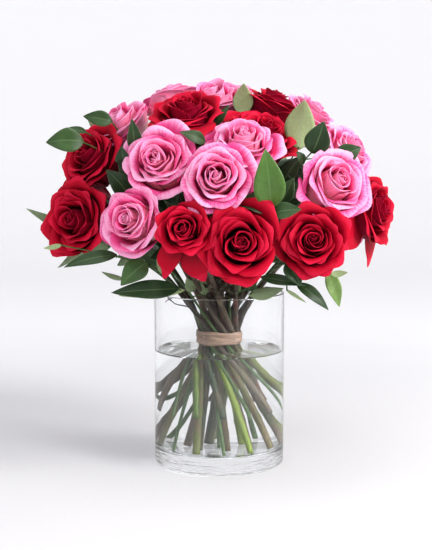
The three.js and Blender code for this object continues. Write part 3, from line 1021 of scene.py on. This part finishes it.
def make_blade(base, tip, width, face, rng, arch=0.10, thickness=0.5 * MM, droop=0.0, tone=None):
    obj = copy_of(BLADE, "blade")
    p = points_of(obj)
    u, v = p[:, 0], (p[:, 1] + 1) / 2
    length = (tip - base).length
    y = (tip - base).normalized()
    x = y.cross(face).normalized()
    z = x.cross(y).normalized()
    outline = np.sin(np.pi * np.clip(v, 0, 1) ** 0.82) ** 0.85 * (1 - 0.28 * v) * 1.12
    outline = np.maximum(outline, 0.07 * (1 - v)) + 0.004
    half = width / 2 * outline
    twist = rng.uniform(-0.35, 0.35) * v + rng.uniform(-0.2, 0.2)
    fold = 0.22 * half * np.abs(u) ** 1.3 * (1 + 0.4 * np.sin(v * 7 + rng.uniform(0, 6)))
    rise = arch * length * np.sin(np.pi * v) - droop * length * v**2.2
    sway = rng.uniform(-0.03, 0.03) * length * np.sin(np.pi * v)
    a = u * half * np.cos(twist) - fold * np.sin(twist) + sway
    b = u * half * np.sin(twist) + fold * np.cos(twist) + rise
    axes = np.array([x, y, z])
    place(obj, np.stack([a, v * length, b], axis=-1) @ axes + np.array(base))
    note(obj, "tint", np.full(len(p), rng.uniform(0, 1) if tone is None else tone))
    apply(obj, "SOLIDIFY", thickness=thickness, offset=0)
    count = len(obj.data.vertices)
    note(obj, "back", np.arange(count) >= count // 2)
    return obj


# %% Twigs, stalks and blades of each sprig
BIGGER = 1.16
TWIG_TONE = 0.5
FRONT_ENDS = 20 * MM  # tips nearer the viewer than this belong to FITTED's blades

# For each blade that faces the viewer: base, tip, width (mm), tone from dark to pale, and 1 if its back
# shows. These places aren't worked out from the frame. In 31 of the 39 rows, x and z were printed by another
# program and only the depth y, the width and the tone were chosen. This is a fault.
FITTED = {
    "ruscus_sprig_1": [
        ((53, -152, 306), (46, -168, 367), 33, 0.66, 0), ((55, -146, 303), (12, -142, 311), 25, 0.05, 0),
        ((53, -140, 303), (26, -128, 325), 22, 0.0, 0), ((53, -150, 300), (84, -158, 305), 19, 0.35, 0),
        ((66, -120, 309), (78, -125, 336), 18, 0.15, 0),
    ],
    "ruscus_sprig_2": [
        ((87, -62, 364), (92, -78, 418), 34, 0.85, 1), ((99, -95, 361), (111, -102, 395), 28, 0.08, 0),
        ((126, -82, 355), (153, -80, 367), 22, 0.2, 0), ((90, -92, 349), (82, -96, 363), 13, 0.1, 0),
        ((66, -84, 326), (88, -88, 358), 23, 0.05, 0), ((72, -86, 342), (100, -90, 328), 17, 0.0, 0),
    ],
    "ruscus_sprig_3": [
        ((24, -30, 402), (27, -40, 437), 24, 1.0, 1), ((-7, -62, 389), (11, -70, 413), 9, 0.3, 0),
    ],
    "ruscus_sprig_4": [
        ((-89, -108, 364), (-92, -122, 398), 16, 0.05, 0), ((-15, -115, 373), (-42, -127, 384), 14, 0.3, 0),
        ((-120, -20, 395), (-153, -22, 401), 18, 0.35, 0), ((-149, -20, 383), (-174, -16, 387), 9, 0.3, 0),
        ((-150, -48, 373), (-191, -55, 372), 27, 0.42, 0), ((-100, -110, 349), (-103, -120, 369), 17, 0.0, 0),
        ((-96, -98, 314), (-121, -104, 344), 22, 0.05, 0), ((-90, -98, 325), (-108, -102, 356), 17, 0.0, 0),
    ],
    "ruscus_sprig_5": [
        ((-108, -128, 255), (-163, -140, 243), 16, 0.15, 0),
        ((-76, -138, 248), (-103, -150, 225), 25, 0.45, 0),
        ((-43, -128, 219), (-114, -138, 216), 22, 0.08, 0),
        ((-37, -124, 217), (-107, -140, 213), 11, 0.85, 1),
        ((-101, -120, 228), (-125, -126, 237), 6, 0.3, 1), ((-59, -110, 232), (-67, -112, 250), 9, 0.6, 1),
        ((-171, -88, 262), (-190, -95, 259), 6, 0.8, 1), ((-28, -50, 206), (-37, -50, 221), 13, 0.4, 1),
        ((-16, -46, 202), (-20, -46, 221), 13, 0.3, 1),
    ],
    "ruscus_sprig_6": [
        ((69, -138, 247), (85, -146, 224), 19, 0.1, 0), ((43, -134, 232), (90, -142, 224), 12, 0.05, 0),
        ((81, -128, 225), (115, -134, 197), 14, 0.15, 0), ((70, -126, 218), (92, -128, 204), 4, 0.8, 1),
        ((116, -112, 236), (128, -116, 198), 16, 0.86, 0), ((117, -128, 235), (135, -132, 237), 8, 0.9, 1),
        ((31, -100, 209), (69, -108, 217), 14, 0.35, 1), ((21, -48, 204), (14, -48, 223), 13, 0.4, 1),
        ((32, -52, 207), (39, -52, 224), 12, 0.2, 0),
    ],
}


def make_sprig(name, seed):
    """A sprig's twig and blades: the design's, but six sprigs have those of FITTED for their front ones."""
    rng = np.random.default_rng(seed)
    points, places = spread_line(SPRIG_LINES[name], 4 * MM)
    share = places / places[-1]
    radius = SPRIG_STEM_RADIUS * (1 - 0.45 * share + 0.05 * np.sin(share * 40))
    twig = stick("twig", points, radius, 2)
    parts = []
    rows = [(base, tip, width * BIGGER, face, rng.uniform(0, 0.5)) for base, tip, width, face in BLADES[name]]
    if name in FITTED:
        rows = [row for row in rows if row[1].y > FRONT_ENDS]
        for base, tip, width, tone, under in FITTED[name]:
            face = Vector((rng.uniform(-0.25, 0.25), -1, rng.uniform(0.2, 0.6))) * (-1 if under else 1)
            rows.append((Vector(base) * MM, Vector(tip) * MM, width * MM, face, tone))
    for base, tip, width, face, tone in rows:
        root = points[np.argmin(np.linalg.norm(points - np.array(base), axis=1))]
        start = base if name in FITTED else base.lerp(Vector(root), 0.35)
        parts.append(make_blade(start, tip, width, face, rng, tone=tone))
        bend = (root + np.array(start)) / 2 + rng.uniform(-1, 1, 3) * 0.6 * MM
        stalk = [root, bend, np.array(start.lerp(tip, 0.06))]
        bent = spread_line(stalk, 3 * MM)[0]
        petiole = stick("petiole", bent, np.full(len(bent), 0.8 * MM), 1)
        parts.append(petiole)
    for piece in [twig] + parts:
        for key in ("tint", "back"):
            if key not in piece.data.attributes:
                note(piece, key, np.full(len(piece.data.vertices), TWIG_TONE if key == "tint" else 0.0))
    return joined_as(name + "_leaves", [twig] + parts)


SPRIG_PIECES = {name: make_sprig(name, 131 + k) for k, name in enumerate(SPRIGS)}
print("faces in the sprigs:", sum(len(o.data.polygons) for o in SPRIG_PIECES.values()))

# %% [markdown]
# The gaps between the blooms aren't empty: more blades stand there in the shade, with their tips just under
# the petals. They are smaller versions of the same blade, scattered over the inside of the dome with their
# upper sides out, and the lowest ones spread as a collar over the rim of the vase.

# %% Blades in the shade, between the blooms
DOME = Vector((0, 0, 0.266))
SHADE_BLADES = 150
rng = np.random.default_rng(404)
shade = []
for k in range(SHADE_BLADES):
    lift = math.degrees(math.asin(-0.06 + 0.98 * ((k + 0.5) / SHADE_BLADES)))
    out = direction(math.degrees(k * GOLDEN), lift)
    side = out.cross(UP).normalized() * rng.choice([-1, 1])
    reach_out = rng.uniform(0.112, 0.150)
    base = DOME + out * (reach_out - 0.045) - UP * 0.02
    way = out * rng.uniform(0.5, 1.0) + side * rng.uniform(0.2, 0.9) + UP * rng.uniform(-0.2, 0.5)
    way = way.normalized()
    tip = base + way * rng.uniform(0.042, 0.062)
    width, tone = rng.uniform(0.016, 0.024), rng.uniform(0, 0.3)
    face = (out + side * 0.3).normalized()
    shade.append(make_blade(base, tip, width, face, rng, tone=tone))
SHADE = joined_as("ruscus_in_the_shade", shade)
print("blades in the shade:", len(shade))

# %% [markdown]
# Where leaves were stripped from the stems, dry curled scraps stay in the fork just above the rim, and one
# thin broken twig leans out of the bundle inside the vase. They take the bark's own finish.

# %% Dry scraps and the thin twig
SCRAPS = 34
rng = np.random.default_rng(909)
scraps = []
for k in range(SCRAPS):
    foot = Vector((rng.uniform(-13, 17), rng.uniform(-54, -44), rng.uniform(200, 221))) * MM
    way = Vector((rng.uniform(-1, 1), rng.uniform(-0.8, 0.2), rng.uniform(-0.4, 1.0))).normalized()
    tip = foot + way * rng.uniform(7, 15) * MM
    face = direction(rng.uniform(-60, 60), 20)
    scraps.append(make_blade(foot, tip, rng.uniform(3, 6) * MM, face, rng, arch=rng.uniform(-0.5, 0.5)))
# As in FITTED, x and z of these points were printed by another program.
THIN_TWIG = [
    (-57, -30, 197), (-53, -31, 193), (-50, -30, 190), (-42, -30, 188),
    (-35, -29, 186), (-29, -27, 180), (-22, -20, 171),
]
line_of_twig, _places = spread_line([Vector(q) * MM for q in THIN_TWIG], 2.5 * MM)
scraps.append(stick("thin_twig", line_of_twig, np.linspace(0.5, 1.0, len(line_of_twig)) * MM, 1))
for end in ((-60, -32, 192), (-59, -28, 201), (-51, -34, 197)):
    curl, _places = spread_line([Vector(q) * MM for q in ((-53, -31, 193), (-56, -33, 195), end)], 1.5 * MM)
    scraps.append(stick("curl", curl, np.full(len(curl), 0.5 * MM), 1))
settle(joined_as("dry_scraps", scraps), bark.material, "rose_stem")
print("dry scraps:", len(scraps))

# %% [markdown]
# Blade colour: a waxy dark green above, with fine lighter veins along it and a paler midrib, and a matt
# grey-green below. Each blade has its own tone, from nearly black green to a fresh yellowish one.

# %% The green of the ruscus
leaf = Finish("ruscus")
tint, back = leaf.attribute("tint"), leaf.attribute("back")
place_on = leaf.node("ShaderNodeUVMap").outputs["UV"]
u = leaf.value("ShaderNodeSeparateXYZ", None, {0: place_on}, output=0)
ribs = (u * 150.0).math("SINE") * 0.5 + 0.5
cloud = leaf.along("ShaderNodeTexNoise", (55, 55, 55), Scale=1.0, Detail=3.0)
fine = leaf.along("ShaderNodeTexNoise", (400, 400, 400), Scale=1.0, Detail=2.0)
midrib = 1 - ((u - 0.5).math("ABSOLUTE")).step(0.0, 0.045)
edge = ((u - 0.5).math("ABSOLUTE")).step(0.46, 0.5)
greens = [
    (0.0, (0.010, 0.030, 0.010)), (0.4, (0.028, 0.070, 0.018)),
    (0.7, (0.085, 0.19, 0.030)), (1.0, (0.27, 0.40, 0.12)),
]
top = leaf.node("ShaderNodeValToRGB", {"stops": greens}, {0: tint + 0.25 * (cloud - 0.5)}).outputs[0]
top = leaf.mix((midrib * 0.4 + ribs * 0.10 + edge * 0.2).clamped(), top, (0.17, 0.27, 0.11))
under = leaf.mix(tint, (0.10, 0.155, 0.085), (0.42, 0.54, 0.25))
under = leaf.mix((midrib * 0.5 + ribs * 0.12).clamped(), under, (0.36, 0.42, 0.28))
colour = leaf.mix(back, top, under)
leaf.set(Base_Color=leaf.shade(colour, 0.8 + 0.4 * fine), Roughness=0.30 + 0.15 * cloud + 0.25 * back)
leaf.set(Specular_IOR_Level=0.35)
leaf.bump(ribs * 0.5 + fine * 0.4 - midrib, 0.30, 0.35 * MM)
for name, obj in SPRIG_PIECES.items():
    settle(obj, leaf.material, "ruscus", name)
settle(SHADE, leaf.material, "ruscus")
bpy.data.objects.remove(BLADE)
print("ruscus:", len(leaf.tree.nodes), "nodes")

# %% [markdown]
# ## The tie
#
# Raffia is a flat, papery ribbon. Wound tightly, it makes a band of thin strands that cross and crinkle a
# little. Each strand starts as a torus; its points are flattened against the stems and waved up and down.

# %% Wind the strands
TIE_LOW, TIE_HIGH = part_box("raffia_tie")
TIE_IN = TIE_HIGH[0] - 2.3 * MM
TIE_MID = (TIE_LOW[2] + TIE_HIGH[2]) / 2
strands = []
rng = np.random.default_rng(77)
for k in range(13):
    bpy.ops.object.select_all(action="DESELECT")
    bpy.ops.mesh.primitive_torus_add(
        major_segments=120, minor_segments=8, major_radius=TIE_IN + 0.9 * MM, minor_radius=1.0 * MM,
        location=(0, 0, 0),
    )
    strand = made("strand")
    p = points_of(strand)
    angle = np.arctan2(p[:, 1], p[:, 0])
    radial = np.hypot(p[:, 0], p[:, 1]) - (TIE_IN + 0.9 * MM)
    tall = rng.uniform(0.9, 1.9)
    level = (k / 12 - 0.5) * 11.2 * MM
    wave = sum(rng.uniform(0.2, 0.7) * MM * np.sin(n * angle + rng.uniform(0, 6.3)) for n in (1, 2, 3, 5))
    depth = 0.28 * MM * np.sin(3 * angle + rng.uniform(0, 6.3))
    depth = depth + 0.16 * MM * np.sin(11 * angle + rng.uniform(0, 6.3))
    r = TIE_IN + 0.9 * MM + radial * 0.42 + depth + (k % 3) * 0.28 * MM
    slant = (2.6 if k % 4 == 1 else 0.5) * MM * np.sin(angle + rng.uniform(0, 6.3))
    z = TIE_MID + level * (0.6 if k % 4 == 1 else 1) + wave + slant + p[:, 2] * tall
    place(strand, np.stack([r * np.cos(angle), r * np.sin(angle), z], axis=-1))
    note(strand, "tint", np.full(len(p), rng.uniform(0, 1)))
    strands.append(strand)
tie = joined_as("raffia_band", strands)
print("strands:", len(strands), "faces:", len(tie.data.polygons))

# %% Its straw colour
straw = Finish("raffia")
tint = straw.attribute("tint")
fibre = straw.along("ShaderNodeTexNoise", (90, 90, 1600), Scale=1.0, Detail=3.0)
blotch = straw.along("ShaderNodeTexNoise", (120, 120, 160), Scale=1.0, Detail=2.0)
colour = straw.mix(tint, (0.26, 0.15, 0.10), (0.44, 0.30, 0.215))
colour = straw.mix(fibre.step(0.3, 0.75) * 0.6, colour, (0.50, 0.37, 0.28))
straw.set(Base_Color=straw.shade(colour, 0.75 + 0.35 * blotch), Roughness=0.72)
straw.bump(fibre, 0.6, 0.4 * MM)
settle(tie, straw.material, "raffia", "raffia_tie")

# %% [markdown]
# ## The vase
#
# A pressed glass cylinder has a heavy base, a soft inner corner at the floor, a rounded foot and a rim
# melted smooth. It is made as a potter would think of it: a solid cylinder, its top inset to the thickness
# of the wall and pushed down to the floor, and every edge rounded by its own amount.

# %% The body of the glass
VASE_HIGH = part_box("vase")[1]
RADIUS = 75 * MM
HEIGHT = VASE_HIGH[2]
WALL, FLOOR = 3.5 * MM, 20 * MM
RIM_ROUND, FOOT_ROUND, FLOOR_ROUND = 1.2 * MM, 5 * MM, 6 * MM
bpy.ops.object.select_all(action="DESELECT")
bpy.ops.mesh.primitive_cylinder_add(vertices=160, radius=RADIUS, depth=HEIGHT, location=(0, 0, HEIGHT / 2))
glass = made("glass_vase")


def pick(obj, kind, test):
    """In edit mode, select the faces or edges whose middle passes the test."""
    bpy.ops.object.mode_set(mode="EDIT")
    bpy.context.tool_settings.mesh_select_mode = (False, kind == "edges", kind == "faces")
    bpy.ops.mesh.select_all(action="DESELECT")
    skin = bmesh.from_edit_mesh(obj.data)
    chosen = 0
    for item in getattr(skin, kind):
        points = [v.co for v in item.verts]
        item.select = test(points)
        chosen += item.select
    skin.select_flush_mode()
    bmesh.update_edit_mesh(obj.data)
    return chosen


def ring_at(radius, level):
    near = 0.05 * MM
    return lambda points: all(abs(p.z - level) < near and abs(p.xy.length - radius) < near for p in points)


def disc_at(level):
    return lambda points: len(points) > 8 and all(abs(p.z - level) < 0.05 * MM for p in points)


pick(glass, "faces", disc_at(HEIGHT))
bpy.ops.mesh.inset(thickness=WALL)
bpy.ops.mesh.extrude_region_move(TRANSFORM_OT_translate={"value": (0, 0, FLOOR - HEIGHT)})
bpy.ops.object.mode_set(mode="OBJECT")
print("the hollowed cylinder has", len(glass.data.polygons), "faces")

# %% Round its edges, and ease the flat faces
INNER = RADIUS - WALL
for radius, level, size, steps in (
    (RADIUS, HEIGHT, RIM_ROUND, 4),
    (INNER, HEIGHT, RIM_ROUND, 4),
    (RADIUS, 0, FOOT_ROUND, 8),
    (INNER, FLOOR, FLOOR_ROUND, 8),
):
    chosen = pick(glass, "edges", ring_at(radius, level))
    bpy.ops.mesh.bevel(offset=size, segments=steps, affect="EDGES", clamp_overlap=False)
    print("rounded", chosen, "edges at", round(level / MM), "mm")
for level in (0, FLOOR):
    pick(glass, "faces", disc_at(level))
    bpy.ops.mesh.inset(thickness=1.0 * MM)
    bpy.ops.mesh.inset(thickness=12 * MM)
bpy.ops.object.mode_set(mode="OBJECT")
glass.data.polygons.foreach_set("use_smooth", [True] * len(glass.data.polygons))
apply(glass, "WEIGHTED_NORMAL", keep_sharp=False, weight=80)
print("the vase has", len(glass.data.polygons), "faces")

# %% [markdown]
# Clear glass is a refracting shader. Light that only passes through it on the way to a flower shouldn't be
# lost as noise, so its shadow is made of the plain see-through shader instead: that is the mix by Is Shadow
# Ray. Hand-drawn glass is never perfectly even, which a broad, very shallow bump gives.

# %% Glass and water


def clear(finish, ior, tint_of, roughness):
    finish.set(Base_Color=tint_of, Roughness=roughness, IOR=ior, Transmission_Weight=1.0)
    shadow = finish.node("ShaderNodeLightPath").outputs["Is Shadow Ray"]
    through = finish.node("ShaderNodeBsdfTransparent", None, {"Color": (0.93, 0.935, 0.95)}).outputs[0]
    solid = finish.shader.outputs[0]
    mixed_shader = finish.node("ShaderNodeMixShader", None, {0: shadow, 1: solid, 2: through})
    output = finish.tree.nodes["Material Output"]
    finish.tree.links.new(mixed_shader.outputs[0], output.inputs["Surface"])


crystal = Finish("clear_glass")
ripple = crystal.along("ShaderNodeTexNoise", (14, 14, 5), Scale=1.0, Detail=1.0)
clear(crystal, 1.48, (0.985, 0.99, 0.995), 0.0)
rings = crystal.along("ShaderNodeTexNoise", (16, 16, 420), Scale=1.0, Detail=2.0)
place_in_frame = crystal.node("ShaderNodeTexCoord").outputs["Object"]
level = crystal.value("ShaderNodeSeparateXYZ", None, {0: place_in_frame}, output=2)
crystal.bump(ripple + (1 - level.step(0.012, 0.024)) * rings * 2.2, 0.30, 1.6 * MM)
settle(glass, crystal.material, "clear_glass", "vase")

# %% [markdown]
# ## The water
#
# The water is a second cylinder inside the first. It reaches a hair into the glass, so that light goes
# straight from glass to water with no film of air between, and its surface climbs the wall in a small
# meniscus.

# %% The body of the water
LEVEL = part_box("water")[1][2]
INTO_GLASS = 0.35 * MM
bpy.ops.object.select_all(action="DESELECT")
wet = INNER + INTO_GLASS
bpy.ops.mesh.primitive_cylinder_add(
    vertices=160, radius=wet, depth=LEVEL - FLOOR + INTO_GLASS,
    location=(0, 0, (LEVEL + FLOOR - INTO_GLASS) / 2)
)
water = made("vase_water")
for inset in (3.2, 1.5, 1.5, 6.0, 22.0):
    pick(water, "faces", disc_at(LEVEL))
    bpy.ops.mesh.inset(thickness=inset * MM)
    bpy.ops.object.mode_set(mode="OBJECT")
pick(water, "edges", ring_at(wet, FLOOR - INTO_GLASS))
bpy.ops.mesh.bevel(offset=FLOOR_ROUND, segments=8, affect="EDGES", clamp_overlap=False)
pick(water, "faces", disc_at(FLOOR - INTO_GLASS))
bpy.ops.mesh.inset(thickness=1.0 * MM)
bpy.ops.object.mode_set(mode="OBJECT")
p = points_of(water)
gap = np.clip(wet - np.hypot(p[:, 0], p[:, 1]), 0, 1)
surface = np.abs(p[:, 2] - LEVEL) < 0.05 * MM
p[surface, 2] += 2.2 * MM * np.exp(-gap[surface] / (1.6 * MM))
place(water, p)
pick(water, "edges", lambda points: all(abs(q.xy.length - wet) < 0.05 * MM and q.z > LEVEL for q in points))
bpy.ops.mesh.mark_sharp()
bpy.ops.object.mode_set(mode="OBJECT")
water.data.polygons.foreach_set("use_smooth", [True] * len(water.data.polygons))
apply(water, "WEIGHTED_NORMAL", keep_sharp=True, weight=80)
wetness = Finish("water")
swell = wetness.along("ShaderNodeTexNoise", (30, 30, 30), Scale=1.0, Detail=1.0)
clear(wetness, 1.333, (0.975, 0.985, 0.985), 0.0)
wetness.bump(swell, 0.15, 1.0 * MM)
settle(water, wetness.material, "water", "water")
print("the water has", len(water.data.polygons), "faces and stands", round(LEVEL / MM), "mm high")

# %% [markdown]
# ## Closing
#
# The box of the finished model is gathered beside the design's.

# %% Gather both boxes and finish
size = {"cad": [list(v) for v in CAD_BOX], "visual": [list(v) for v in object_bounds()]}
